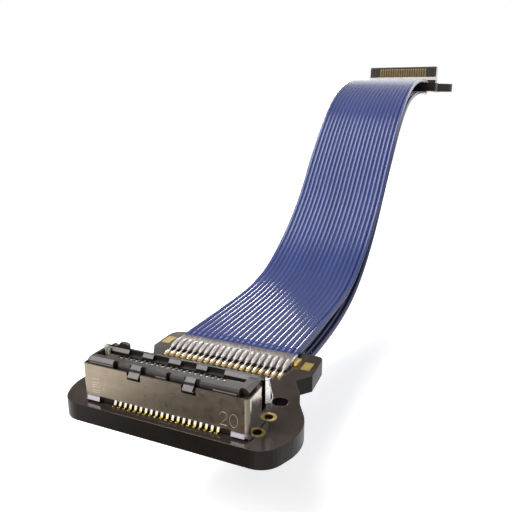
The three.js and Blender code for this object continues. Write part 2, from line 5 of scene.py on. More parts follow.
import bmesh
import bpy
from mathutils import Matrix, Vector


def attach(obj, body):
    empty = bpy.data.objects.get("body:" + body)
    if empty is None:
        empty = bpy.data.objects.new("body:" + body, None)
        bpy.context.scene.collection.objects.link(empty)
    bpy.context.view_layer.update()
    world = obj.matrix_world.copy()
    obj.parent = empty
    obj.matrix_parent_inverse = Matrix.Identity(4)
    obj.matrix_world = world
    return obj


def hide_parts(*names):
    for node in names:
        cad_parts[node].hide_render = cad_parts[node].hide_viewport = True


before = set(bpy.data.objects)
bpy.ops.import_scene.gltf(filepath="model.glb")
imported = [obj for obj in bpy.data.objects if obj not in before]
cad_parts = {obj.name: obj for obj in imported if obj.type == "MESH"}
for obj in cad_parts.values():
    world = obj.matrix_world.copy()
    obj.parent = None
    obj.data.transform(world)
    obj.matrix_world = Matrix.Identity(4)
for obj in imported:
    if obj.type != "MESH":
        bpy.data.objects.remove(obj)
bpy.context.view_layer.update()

MM = 0.001

# Sizes shared with the solid model, in millimetres
BOARD = 1.6
FAR = (0.284, 97.05, 27.55)
WIRES = 20
WIRE_PITCH = 0.635
WIRE_DIAMETER = 0.6
RIBBON_OFFSET = -0.24
HOLE_X = 7.45
SOLDER_GAP = 0.02
BAR = {"front": 10.83, "rear": 12.62, "height": 0.46, "margin": 0.02}
CONTACTS = 20
CONTACT_PITCH = 0.5
SHELL_FRONT = -1.7

# Sizes that follow from those above
WIRE_LEVEL = SOLDER_GAP + WIRE_DIAMETER / 2
RIBBON_HALF = WIRE_PITCH * (WIRES - 1) / 2 + WIRE_DIAMETER / 2

# A skin's height above the face that it lies on
SKIN = 0.002


# ---- Camera, fitted to the photograph ----
CAMERA_PLACE = (0.022152, -0.033942, 0.02585)
CAMERA_TILT = 74.26
CAMERA_TURN = 23.73
CAMERA_LENS = 38.88


def make_camera():
    data = bpy.data.cameras.new("camera")
    data.sensor_width = 36.0
    data.lens = CAMERA_LENS
    data.clip_start = 0.001
    data.clip_end = 10.0
    obj = bpy.data.objects.new("camera", data)
    bpy.context.collection.objects.link(obj)
    obj.location = CAMERA_PLACE
    obj.rotation_euler = (math.radians(CAMERA_TILT), 0.0, math.radians(CAMERA_TURN))
    bpy.context.scene.camera = obj


make_camera()


# ---- Node helpers ----
class Nodes:
    """Builds a material's node tree with short calls."""

    def __init__(self, name):
        self.mat = bpy.data.materials.new(name)
        self.mat.use_nodes = True
        self.tree = self.mat.node_tree
        self.tree.nodes.clear()
        self.out = self.tree.nodes.new("ShaderNodeOutputMaterial")
        self.coords = self.tree.nodes.new("ShaderNodeTexCoord").outputs["Object"]

    def add(self, kind, inputs=None, **props):
        node = self.tree.nodes.new(kind)
        for key, value in props.items():
            setattr(node, key, value)
        for key, value in (inputs or {}).items():
            self.put(node, key, value)
        return node

    def put(self, node, key, value):
        if isinstance(value, bpy.types.NodeSocket):
            self.tree.links.new(value, node.inputs[key])
        else:
            node.inputs[key].default_value = value

    def noise(self, size_mm, detail=3.0, stretch=None):
        vector = self.coords
        if stretch:
            mapping = self.add("ShaderNodeMapping", {"Vector": vector, "Scale": stretch})
            vector = mapping.outputs["Vector"]
        node = self.add(
            "ShaderNodeTexNoise",
            {"Vector": vector, "Scale": 1000.0 / size_mm, "Detail": detail, "Roughness": 0.55},
        )
        return node.outputs["Fac"]

    def range(self, value, a, b, c, d):
        node = self.add(
            "ShaderNodeMapRange",
            {"Value": value, "From Min": a, "From Max": b, "To Min": c, "To Max": d},
        )
        return node.outputs["Result"]

    def mix(self, factor, a, b):
        """Colour a where the factor is 0 and colour b where it is 1; the sockets go by number."""
        node = self.add("ShaderNodeMix", {0: factor, 6: a, 7: b}, data_type="RGBA")
        return node.outputs[2]

    def spotted(self, size_mm, a, b, detail=3.0):
        """Colour that wanders between a and b in patches of about the given size."""
        return self.mix(self.range(self.noise(size_mm, detail), 0.35, 0.65, 0.0, 1.0), a, b)

    def patchy(self, size_mm, low, high):
        """A number that wanders between low and high."""
        return self.range(self.noise(size_mm), 0.3, 0.7, low, high)

    def math(self, operation, a, b=0.0):
        return self.add("ShaderNodeMath", {0: a, 1: b}, operation=operation).outputs[0]

    def axis(self, name):
        """The object coordinate along X, Y or Z, in millimetres."""
        split = self.add("ShaderNodeSeparateXYZ", {"Vector": self.coords})
        return self.math("MULTIPLY", split.outputs[name], 1000.0)

    def normal(self, name):
        """The surface normal's share along X, Y or Z."""
        geometry = self.add("ShaderNodeNewGeometry")
        split = self.add("ShaderNodeSeparateXYZ", {"Vector": geometry.outputs["Normal"]})
        return split.outputs[name]

    def bevel(self, radius_mm):
        node = self.add("ShaderNodeBevel", {"Radius": radius_mm * MM}, samples=4)
        return node.outputs["Normal"]

    def bump(self, height, depth_mm, strength=1.0, normal=None):
        inputs = {"Height": height, "Distance": depth_mm * MM, "Strength": strength}
        if normal is not None:
            inputs["Normal"] = normal
        return self.add("ShaderNodeBump", inputs).outputs["Normal"]

    def shader(self, **inputs):
        shader = self.add("ShaderNodeBsdfPrincipled")
        for key, value in inputs.items():
            self.put(shader, key.replace("_", " "), value)
        return shader.outputs[0]

    def finish(self, **inputs):
        self.tree.links.new(self.shader(**inputs), self.out.inputs["Surface"])
        return self.mat

    def blend(self, factor, first, second):
        mixer = self.add("ShaderNodeMixShader", {0: factor, 1: first, 2: second})
        self.tree.links.new(mixer.outputs[0], self.out.inputs["Surface"])
        return self.mat


def rgb(r, g, b):
    return (r, g, b, 1.0)


def plain(name, base, tint, rough, metal=0.0, grain=0.4, bump=0.004, bevel=0.04):
    """A surface with a tint that wanders, a roughness that varies, fine grain and soft edges."""
    n = Nodes(name)
    colour = n.spotted(grain * 4, base, tint)
    roughness = n.patchy(grain * 1.5, rough - 0.06, rough + 0.06)
    edges = n.bevel(bevel) if bevel else None
    normal = n.bump(n.noise(grain * 0.35, 4.0), bump, 1.0, edges)
    return n.finish(Base_Color=colour, Roughness=roughness, Metallic=metal, Normal=normal)


# ---- Surfaces ----
def board_material():
    """Glossy dark solder mask above and below, and dull darker laminate at the cut edge."""
    n = Nodes("board_mask")
    mask = n.spotted(3.0, rgb(0.030, 0.022, 0.017), rgb(0.040, 0.030, 0.024))
    grain = n.range(n.noise(0.5, 4.0), 0.3, 0.7, 0.0, 1.0)
    edge = n.mix(grain, rgb(0.008, 0.0055, 0.004), rgb(0.012, 0.0085, 0.0065))
    side = n.range(n.math("ABSOLUTE", n.normal("Z")), 0.3, 0.7, 1.0, 0.0)
    roughness = n.math("ADD", n.patchy(1.0, 0.13, 0.2), n.math("MULTIPLY", side, 0.22))
    shared = {
        "Base_Color": n.mix(side, mask, edge),
        "Roughness": roughness,
        "Normal": n.bump(n.noise(0.3, 4.0), 0.0008, 0.5, n.bevel(0.07)),
    }
    faces = n.shader(Specular_IOR_Level=0.6, **shared)
    cut = n.shader(Specular_IOR_Level=0.12, **shared)
    return n.blend(side, faces, cut)


def shell_material():
    """Satin nickel sheet: painted highlight low down at the solder tab feet, polished smoother and
    painted paler on the right end's flank, painted shade on the fold and inside the rear wall.
    """
    n = Nodes("shell_nickel")
    rolled = n.range(n.noise(1.2, 3.0, stretch=(0.25, 1.0, 1.0)), 0.3, 0.7, 0.0, 1.0)
    body = n.mix(rolled, rgb(0.25, 0.205, 0.155), rgb(0.28, 0.232, 0.178))

    # Painted sheen: faces turned to +X are painted paler, and below they are also made smoother.
    flank = n.range(n.normal("X"), 0.75, 0.95, 0.0, 1.0)
    body = n.mix(flank, body, rgb(0.42, 0.38, 0.335))

    # Painted shade on the fold between the front and the right flank, past its bright leading line
    fold_shade_start = n.range(n.normal("X"), 0.42, 0.56, 0.0, 1.0)
    fold_shade_end = n.range(n.normal("X"), 0.97, 0.9, 0.0, 1.0)
    body = n.mix(n.math("MULTIPLY", fold_shade_start, fold_shade_end), body, rgb(0.13, 0.115, 0.10))

    # Painted shade on the rear wall's inner face
    rear = n.range(n.axis("Y"), 1.5, 1.53, 0.0, 1.0)
    inward = n.range(n.normal("Y"), -0.5, -0.9, 0.0, 1.0)
    body = n.mix(n.math("MULTIPLY", rear, inward), body, rgb(0.03, 0.025, 0.02))

    # Painted highlight: the shell's lowest part, at the solder tab feet, is painted pale lavender.
    tab_foot_highlight = n.range(n.axis("Z"), 2.12, 2.18, 1.0, 0.0)
    colour = n.mix(tab_foot_highlight, body, rgb(0.44, 0.42, 0.47))
    roughness = n.math("SUBTRACT", n.patchy(0.5, 0.26, 0.36), n.math("MULTIPLY", flank, 0.16))
    return n.finish(Base_Color=colour, Roughness=roughness, Metallic=1.0)


def moulding_material():
    """Satin black moulding, with a painted highlight that makes its sloping faces, the chamfers and
    hooks, paler.
    """
    n = Nodes("moulding")
    dark = n.spotted(1.2, rgb(0.018, 0.014, 0.012), rgb(0.028, 0.023, 0.020))
    pale = n.spotted(1.2, rgb(0.105, 0.095, 0.092), rgb(0.135, 0.123, 0.120))
    # Painted highlight: faces that slope between upright and level are painted pale.
    up = n.normal("Z")
    not_upright = n.range(up, 0.5, 0.62, 0.0, 1.0)
    not_level = n.range(up, 0.93, 0.85, 0.0, 1.0)
    colour = n.mix(n.math("MULTIPLY", not_upright, not_level), dark, pale)
    normal = n.bump(n.noise(0.1, 4.0), 0.002, 0.6, n.bevel(0.04))
    return n.finish(
        Base_Color=colour,
        Roughness=n.patchy(0.45, 0.36, 0.46),
        Normal=normal,
        Specular_IOR_Level=0.38,
    )


def jacket_material(name, pale, y_start, y_end):
    """Glossy blue jacket, with painted shade between the wires and a painted highlight on the crest
    past y_start towards the far end.
    """
    n = Nodes(name)
    drift = n.range(n.noise(2.5, 2.0, stretch=(1.0, 0.15, 0.15)), 0.35, 0.65, 0.0, 1.0)
    blue = n.mix(drift, rgb(0.020, 0.036, 0.165), rgb(0.027, 0.047, 0.20))
    valley_shade = n.range(n.math("ABSOLUTE", n.normal("X")), 0.45, 0.9, 0.0, 1.0)
    blue = n.mix(valley_shade, blue, rgb(0.007, 0.012, 0.055))
    # Painted highlight: the crest towards the far end is painted pale.
    colour = n.mix(n.range(n.axis("Y"), y_start, y_end, 0.0, 1.0), blue, pale)
    return n.finish(
        Base_Color=colour,
        Roughness=n.patchy(6.0, 0.175, 0.2),
        Specular_IOR_Level=0.42,
        Coat_Weight=0.1,
        Coat_Roughness=0.1,
    )


def braid_material():
    """Woven silver strands: crossed diagonals in the bump, and in the colour a painted shade
    between the strands and a painted highlight on them.
    """
    n = Nodes("braid_silver")
    bands = []
    for tilt in (0.6, -0.6):
        turned = n.add("ShaderNodeMapping", {"Vector": n.coords, "Rotation": (0.0, 0.0, tilt)})
        wave = n.add(
            "ShaderNodeTexWave",
            {"Vector": turned.outputs["Vector"], "Scale": 2600.0, "Distortion": 0.4, "Detail": 1.0},
            bands_direction="X",
        )
        bands.append(wave.outputs["Fac"])
    weave = n.math("MULTIPLY", bands[0], bands[1])
    painted_strand_light = n.range(weave, 0.0, 0.5, 0.0, 1.0)
    colour = n.mix(painted_strand_light, rgb(0.24, 0.22, 0.205), rgb(0.60, 0.57, 0.56))
    normal = n.bump(weave, 0.03, 0.8)
    return n.finish(Base_Color=colour, Roughness=0.3, Metallic=1.0, Normal=normal)


def tail_material():
    """Contact metal: gold below, pale and bright where the tails turn up."""
    n = Nodes("contact_plating")
    high = n.range(n.axis("Z"), 1.79, 1.86, 0.0, 1.0)
    gold = n.mix(n.patchy(0.5, 0.0, 1.0), rgb(0.95, 0.72, 0.16), rgb(1.0, 0.80, 0.28))
    colour = n.mix(high, gold, rgb(0.96, 0.94, 0.90))
    roughness = n.patchy(0.2, 0.2, 0.32)
    return n.finish(Base_Color=colour, Roughness=roughness, Metallic=1.0, Normal=n.bevel(0.02))


def far_contact_material():
    """Dulled gold with a paler band at the top."""
    n = Nodes("far_contact_gold")
    high = n.range(n.axis("Z"), FAR[2] + 4.6, FAR[2] + 4.9, 0.0, 1.0)
    low = n.mix(n.patchy(0.6, 0.0, 1.0), rgb(0.17, 0.122, 0.055), rgb(0.215, 0.157, 0.075))
    colour = n.mix(high, low, rgb(0.46, 0.37, 0.19))
    return n.finish(Base_Color=colour, Roughness=0.36, Metallic=1.0, Normal=n.bevel(0.02))


board_mask = board_material()
shell = shell_material()
# The paler colour past the given Y is a painted highlight on the crest; the second jacket paints
# one on the outer flank from nearer the board.
jacket = jacket_material("wire_jacket", rgb(0.52, 0.53, 0.60), 69.0, 79.0)
jacket_with_flank_highlight = jacket_material("wire_jacket_flank_highlight", rgb(0.50, 0.51, 0.58), 54.0, 66.0)
braid = braid_material()
tails = tail_material()
far_gold = far_contact_material()
moulding = moulding_material()
gold = plain("gold_plate", rgb(0.58, 0.40, 0.12), rgb(0.72, 0.52, 0.17),
             0.36, 1.0, grain=0.2, bevel=0.02)
ring_gold = plain("ring_gold", rgb(0.34, 0.23, 0.07), rgb(0.46, 0.33, 0.11),
                  0.34, 1.0, grain=0.2, bevel=0.02)
pad_gold = plain("pad_gold", rgb(0.27, 0.20, 0.035), rgb(0.35, 0.26, 0.055),
                 0.5, 0.6, grain=0.2, bevel=0.02)
bar_metal = plain("ground_bar", rgb(0.155, 0.13, 0.11), rgb(0.195, 0.168, 0.145),
                  0.45, 0.7, grain=0.3, bump=0.006)
prong_cream = plain("prong_cream", rgb(0.70, 0.64, 0.56), rgb(0.82, 0.77, 0.70),
                    0.3, 0.25, grain=0.1, bevel=0)
tip_cream = plain("tip_cream", rgb(0.36, 0.30, 0.20), rgb(0.52, 0.45, 0.33),
                  0.35, 0.4, grain=0.15, bevel=0)
pale_tin = plain("pale_tin", rgb(0.74, 0.72, 0.72), rgb(0.84, 0.82, 0.83),
                 0.25, 0.6, grain=0.2, bevel=0.02)
tin_painted_shade = plain("tin_painted_shade", rgb(0.20, 0.18, 0.17), rgb(0.30, 0.28, 0.27),
                 0.25, 0.6, grain=0.2, bevel=0)
bed_tin = plain("bed_tin", rgb(0.17, 0.155, 0.14), rgb(0.24, 0.22, 0.205),
                0.5, 0.2, grain=0.2, bevel=0)
mark_metal_highlight = plain("mark_metal_highlight", rgb(0.37, 0.31, 0.245), rgb(0.43, 0.37, 0.30),
                   0.35, 0.7, grain=0.2, bevel=0)
black = plain("shadow_black", rgb(0.006, 0.005, 0.004), rgb(0.010, 0.008, 0.007),
              0.7, grain=0.3, bevel=0)
tin = plain("bright_tin", rgb(0.80, 0.79, 0.82), rgb(0.90, 0.89, 0.92),
            0.16, 1.0, grain=0.2, bump=0.003)
silver_core = plain("core_silver", rgb(0.88, 0.86, 0.84), rgb(0.96, 0.95, 0.94),
                    0.22, 1.0, grain=0.1, bevel=0)
sleeve_painted_shade = plain("sleeve", rgb(0.03, 0.026, 0.018), rgb(0.05, 0.042, 0.026),
                    0.5, 0.5, grain=0.2, bevel=0)


# ---- Mesh helpers; points are in millimetres ----
def place(end, point):
    """A point of the near end, or the same point of the far end, which is turned half round."""
    x, y, z = point
    if end == "far":
        return (FAR[0] - x, FAR[1] - y, FAR[2] + z)
    return (x, y, z)


def piece(name, shape, materials, end="near", smooth=False):
    """Makes the shape one object of the scene, with the normals turned outwards."""
    mesh = bpy.data.meshes.new(name)
    mesh.from_pydata([tuple(c * MM for c in place(end, p)) for p in shape.points], [], shape.faces)
    for mat in materials:
        mesh.materials.append(mat)
    for polygon, index in zip(mesh.polygons, shape.indices):
        polygon.material_index = index
        polygon.use_smooth = smooth
    bm = bmesh.new()
    bm.from_mesh(mesh)
    bmesh.ops.recalc_face_normals(bm, faces=bm.faces)
    bm.to_mesh(mesh)
    bm.free()
    obj = bpy.data.objects.new(name, mesh)
    bpy.context.collection.objects.link(obj)
    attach(obj, "root")
    return obj


class Shape:
    """Collects closed shells into one mesh: points, faces and each face's material index."""

    def __init__(self):
        self.points = []
        self.faces = []
        self.indices = []

    def rings(self, rings, index=0):
        """A closed tube through rings of points, capped at both ends."""
        start = len(self.points)
        count = len(rings[0])
        for ring in rings:
            self.points += ring
        for i in range(len(rings) - 1):
            a = start + i * count
            b = a + count
            for j in range(count):
                k = (j + 1) % count
                self.faces.append((a + j, a + k, b + k, b + j))
                self.indices.append(index)
        last = start + (len(rings) - 1) * count
        self.faces.append(tuple(range(start + count - 1, start - 1, -1)))
        self.faces.append(tuple(range(last, last + count)))
        self.indices += [index, index]

    def tube(self, x, profile, sides, index):
        """A round bar along Y at x; the profile's rows are y, the middle's z and the radius."""
        rings = []
        for y, z, r in profile:
            ring = []
            for k in range(sides):
                a = 2 * math.pi * k / sides
                ring.append((x + r * math.sin(a), y, z + r * math.cos(a)))
            rings.append(ring)
        self.rings(rings, index)

    def dome(self, centre, size, index=0):
        """Half an ellipsoid standing on its flat face; a negative height hangs it."""
        sides, stages = 12, 4
        x, y, z = centre
        rx, ry, height = size
        rings = []
        for s in range(stages + 1):
            a = (math.pi / 2) * min(s / stages, 0.97)
            ring = []
            for k in range(sides):
                b = 2 * math.pi * k / sides
                across = x + rx * math.cos(a) * math.cos(b)
                along = y + ry * math.cos(a) * math.sin(b)
                ring.append((across, along, z + height * math.sin(a)))
            rings.append(ring)
        self.rings(rings, index)

    def slab(self, outline, z0, z1):
        """A plate with the outline's X and Y, from z0 to z1."""
        self.rings([[(x, y, z) for x, y in outline] for z in (z0, z1)])

    def upright(self, outline, y0, y1, index=0):
        """A plate with the outline's X and Z, from y0 to y1."""
        self.rings([[(x, y, z) for x, z in outline] for y in (y0, y1)], index)


def rounded(x0, x1, y0, y1, r):
    """A rectangle's outline with its corners rounded."""
    steps = 3
    left, right, low, high = x0 + r, x1 - r, y0 + r, y1 - r
    corners = ((right, high, 0), (left, high, 90), (left, low, 180), (right, low, 270))
    points = []
    for cx, cy, start in corners:
        for k in range(steps + 1):
            a = math.radians(start + 90 * k / steps)
            points.append((cx + r * math.cos(a), cy + r * math.sin(a)))
    return points


# ---- Ribbons: twenty jacketed wires side by side, swept along the solids' routes ----
TOP_ROUTE = [
    (-0.18, 17.0, 1.93), (-0.1, 21.7, 1.98), (-0.02, 26.2, 2.1), (0.04, 30.2, 2.45),
    (0.1, 34.0, 3.35), (0.18, 38.9, 5.65), (0.24, 43.0, 8.3), (0.3, 46.8, 11.4),
    (0.34, 50.0, 14.75), (0.4, 53.3, 18.2), (0.45, 56.3, 21.1), (0.5, 59.3, 23.6),
    (0.52, 62.8, 25.75), (0.52, 66.5, 27.3), (0.52, 70.8, 28.45), (0.52, 75.5, 29.15),
    (0.52, 80.0, 29.42),
]
BOTTOM_ROUTE = [
    (-0.18, 17.0, -0.38), (-0.1, 21.7, -0.42), (-0.02, 26.2, -0.2), (0.04, 29.5, 0.2),
    (0.1, 33.0, 0.98), (0.15, 36.4, 2.25), (0.19, 39.8, 4.1), (0.25, 43.6, 6.95),
    (0.3, 47.3, 10.45), (0.35, 50.7, 14.05), (0.4, 54.1, 17.55), (0.47, 57.7, 20.95),
    (0.52, 61.5, 23.6), (0.52, 65.6, 25.3), (0.52, 70.0, 26.35), (0.52, 75.2, 27.0),
    (0.52, 80.0, 27.22),
]


def smooth_route(points, per_span=6):
    """A centripetal Catmull-Rom line through the points."""
    pts = [Vector(p) for p in points]
    pts = [pts[0] * 2 - pts[1]] + pts + [pts[-1] * 2 - pts[-2]]
    line = []
    for i in range(1, len(pts) - 2):
        p0, p1, p2, p3 = pts[i - 1 : i + 3]
        t0 = 0.0
        t1 = t0 + (p1 - p0).length ** 0.5
        t2 = t1 + (p2 - p1).length ** 0.5
        t3 = t2 + (p3 - p2).length ** 0.5
        for k in range(per_span):
            t = t1 + (t2 - t1) * k / per_span
            a1 = p0 * ((t1 - t) / (t1 - t0)) + p1 * ((t - t0) / (t1 - t0))
            a2 = p1 * ((t2 - t) / (t2 - t1)) + p2 * ((t - t1) / (t2 - t1))
            a3 = p2 * ((t3 - t) / (t3 - t2)) + p3 * ((t - t2) / (t3 - t2))
            b1 = a1 * ((t2 - t) / (t2 - t0)) + a2 * ((t - t0) / (t2 - t0))
            b2 = a2 * ((t3 - t) / (t3 - t1)) + a3 * ((t - t1) / (t3 - t1))
            line.append(b1 * ((t2 - t) / (t2 - t1)) + b2 * ((t - t1) / (t2 - t1)))
    line.append(pts[-2])
    return line


def lobed_section():
    """The ribbon's section: round wires whose jackets are bonded where they meet."""
    radius = 0.3265
    flatness = 0.94
    steps = 9
    web = math.acos(WIRE_PITCH / 2 / radius)
    outline = []
    for side in (1, -1):
        order = range(WIRES) if side > 0 else range(WIRES - 1, -1, -1)
        for i in order:
            centre = (i - (WIRES - 1) / 2) * WIRE_PITCH
            first, last = math.pi - web, web
            if i == 0:
                first = math.pi
            if i == WIRES - 1:
                last = 0.0
            if side < 0:
                first, last = last, first
            for k in range(steps):
                share = (k + 0.5) / steps if 0 < i < WIRES - 1 else k / (steps - 1)
                a = first + (last - first) * share
                height = side * radius * math.sin(a) * flatness
                outline.append((centre + radius * math.cos(a), height))
    return outline


def ribbon(name, node, route, side):
    """One ribbon, above (side 1) or below (side -1) both boards; it stands for the solid node."""
    face = BOARD if side > 0 else 0.0
    centre = face + side * WIRE_LEVEL
    gap = 0.3
    overlap = 0.02
    start = (RIBBON_OFFSET, BAR["rear"] + gap, centre)
    end = (FAR[0] - RIBBON_OFFSET, FAR[1] - BAR["rear"] - gap, FAR[2] + centre)
    line = smooth_route([start] + route + [end])
    # The jackets run on until just behind the ground bars.
    line[0] = line[0] - Vector((0.0, gap - overlap, 0.0))
    line[-1] = line[-1] + Vector((0.0, gap - overlap, 0.0))
    section = lobed_section()
    rings = []
    for i, point in enumerate(line):
        ahead = line[min(i + 1, len(line) - 1)] - line[max(i - 1, 0)]
        up = Vector((1.0, 0.0, 0.0)).cross(ahead).normalized()
        rings.append([tuple(point + Vector((u, 0.0, 0.0)) + up * v) for u, v in section])
    shape = Shape()
    shape.rings(rings)
    # The outermost wire's right flank has its own surface, whose painted highlight starts nearer
    # the board.
    flank_width = 0.16
    outer = [int(u > RIBBON_HALF - flank_width) for u, v in section]
    shape.indices = outer * (len(rings) - 1) + [0, 0]
    obj = piece(name, shape, [jacket, jacket_with_flank_highlight], smooth=True)
    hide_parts(node)


ribbon("ribbon_upper", "top_ribbon", TOP_ROUTE, 1)
ribbon("ribbon_lower", "bottom_ribbon", BOTTOM_ROUTE, -1)


# ---- Stripped ends: ground bar, braids, cores and solder on gold pads ----
# Rows of y, height of the middle above the board's face, and radius
BRAID_PROFILE = [
    (11.3, 0.31, 0.27), (11.05, 0.33, 0.30), (10.85, 0.34, 0.305), (10.6, 0.335, 0.3),
    (10.35, 0.32, 0.29), (10.1, 0.295, 0.275), (9.92, 0.27, 0.25), (9.75, 0.24, 0.21),
    (9.62, 0.2, 0.155), (9.5, 0.17, 0.1),
]
CORE_PROFILE = [(9.56, 0.17, 0.1), (9.3, 0.15, 0.1), (9.0, 0.145, 0.1), (8.62, 0.14, 0.1)]
EAR_PADS = ((-8.24, -7.35), (7.04, 7.93))


def wire_x(i):
    return RIBBON_OFFSET + (i - (WIRES - 1) / 2) * WIRE_PITCH


def stripped_ends(end, side):
    """What one ribbon ends in on one board, above (side 1) or below (side -1) it."""
    face = BOARD if side > 0 else 0.0
    word = "top" if side > 0 else "bottom"

    def level(h):
        return face + side * h

    half = RIBBON_HALF + BAR["margin"]
    x0 = RIBBON_OFFSET - half
    x1 = RIBBON_OFFSET + half
    soft = 0.05
    rings = []
    for x, inset in ((x0, soft), (x0 + soft, 0.0), (x1 - soft, 0.0), (x1, soft)):
        front, rear, height = BAR["front"] + inset, BAR["rear"] - inset, BAR["height"] - inset
        profile = rounded(front, rear, inset, height, 0.06)
        rings.append([(x, y, level(max(h, SOLDER_GAP))) for y, h in profile])
    bar = Shape()
    bar.rings(rings)
    obj = piece(f"{end}_bar_{word}", bar, [bar_metal], end)
    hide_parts(f"{end}_ground_bar_{word}")

    # Solder that fills the gaps between the braids
    bed = Shape()
    bed.slab(rounded(x0 + 0.1, x1 - 0.1, 9.85, BAR["front"], soft), level(SOLDER_GAP), level(0.17))
    piece(f"{end}_bed_{word}", bed, [bed_tin], end)

    ends = Shape()
    for i in range(WIRES):
        x = wire_x(i)
        ends.tube(x, [(y, level(h), r) for y, h, r in BRAID_PROFILE], 12, 0)
        ends.tube(x, [(y, level(h), r) for y, h, r in CORE_PROFILE], 10, 1)
        ends.dome((x, 8.58, level(0.05)), (0.15, 0.16, side * 0.24), 1)
    piece(f"{end}_ends_{word}", ends, [braid, silver_core], end, True)

    pads = Shape()
    for i in range(WIRES):
        x = wire_x(i)
        pads.slab(rounded(x - 0.21, x + 0.21, 8.36, 9.36, 0.08), level(0.004), level(0.03))
        pads.dome((x, 8.95, level(0.02)), (0.19, 0.4, side * 0.13))
    piece(f"{end}_pads_{word}", pads, [gold], end)

    ear_pads = Shape()
    for left, right in EAR_PADS:
        ear_pads.slab(rounded(left, right, 10.68, 12.27, soft), level(SKIN), level(0.02))
    piece(f"{end}_ear_pads_{word}", ear_pads, [pad_gold], end)


for end in ("near", "far"):
    for side in (1, -1):
        stripped_ends(end, side)


# ---- Plated rings and their sleeves ----
HOLE_ROWS = (-0.28, 2.03)


def ring_shape(shape, x, y, inner, outer, z0, z1):
    """Adds a flat or tall ring round (x, y)."""
    sides = 28
    start = len(shape.points)
    for radius, z in ((inner, z0), (outer, z0), (outer, z1), (inner, z1)):
        for k in range(sides):
            a = 2 * math.pi * k / sides
            shape.points.append((x + radius * math.cos(a), y + radius * math.sin(a), z))
    for band in range(4):
        for k in range(sides):
            a = start + band * sides
            b = start + ((band + 1) % 4) * sides
            shape.faces.append((a + k, a + (k + 1) % sides, b + (k + 1) % sides, b + k))
            shape.indices.append(0)


def plated_rings(end):
    """Gold rings above and below the board's plated holes, and dark sleeves inside them that paint
    the shade in the holes.
    """
    thick = 0.025
    recess = 0.02
    rings = Shape()
    sleeves = Shape()
    for x in (-HOLE_X, HOLE_X):
        for y in HOLE_ROWS:
            for z0, z1 in ((BOARD + SKIN, BOARD + thick), (-thick, -SKIN)):
                ring_shape(rings, x, y, 0.385, 0.66, z0, z1)
            ring_shape(sleeves, x, y, 0.345, 0.383, recess, BOARD - recess)
    piece(f"{end}_rings", rings, [ring_gold], end)
    piece(f"{end}_sleeves", sleeves, [sleeve_painted_shade], end)


plated_rings("near")
plated_rings("far")


# ---- Small features of the near connector ----
# Rows of X, Z
FORK_PRONGS = (
    [(-6.975, 3.2), (-6.825, 3.2), (-6.83, 5.64), (-6.71, 5.74), (-6.85, 5.97), (-6.95, 5.97),
     (-7.08, 5.74), (-6.97, 5.64)],
    [(-6.70, 3.2), (-6.55, 3.2), (-6.545, 5.46), (-6.6, 5.57), (-6.66, 5.55), (-6.70, 5.46)],
)
SPRING_X = 7.42
SPRING_BLADE = [(SPRING_X, 3.08), (7.86, 3.26), (7.93, 3.5), (7.92, 3.83), (7.78, 4.3),
                (7.66, 4.8), (7.61, 5.13), (SPRING_X, 5.13)]
SPRING_HOOK = [(7.40, 5.16), (7.61, 5.16), (7.76, 5.28), (7.78, 5.36), (7.56, 5.32),
               (SPRING_X, 5.42)]
SPRING_ROOT = [(7.45, 2.5), (7.56, 2.36), (7.8, 2.46), (7.88, 2.9), (7.84, 3.2), (7.45, 3.04)]
BAR_MARKS = (3.80, 3.46, 3.24, 3.03, 2.73, 2.55)
DIGIT_TWO = [(5.03, 3.32), (5.08, 3.48), (5.20, 3.58), (5.36, 3.61), (5.52, 3.56), (5.62, 3.43),
             (5.63, 3.28), (5.54, 3.1), (5.03, 2.53), (5.66, 2.53)]
DIGIT_ZERO = [(6.17 + 0.33 * math.sin(a * math.pi / 9), 3.06 + 0.54 * math.cos(a * math.pi / 9))
              for a in range(19)]
# Each strip's ends in X, and the strips' section in Y, Z
LIP_STRIPS = ((-7.2, -4.8), (-0.72, 0.22), (4.35, 6.3))
LIP_PROFILE = [(-1.49, 5.04), (-1.41, 5.15), (-1.38, 5.15), (-1.38, 5.0), (-1.49, 5.0)]


def contact_x(i):
    return (i - (CONTACTS - 1) / 2) * CONTACT_PITCH


def stroke(shape, line):
    """A thin raised line on the shell's front, through points of X and Z."""
    radius = 0.03
    out = Vector((0.0, -radius * 0.6, 0.0))
    for (xa, za), (xb, zb) in zip(line, line[1:]):
        along = Vector((xb - xa, 0.0, zb - za)).normalized()
        across = Vector((-along.z, 0.0, along.x)) * radius
        section = (across, across * 0.6 + out, -across * 0.6 + out, -across,
                   -across - out * 0.5, across - out * 0.5)
        rings = []
        for x, z in ((xa, za), (xb, zb)):
            base = Vector((x, SHELL_FRONT, z))
            rings.append([tuple(base + v) for v in section])
        shape.rings(rings)


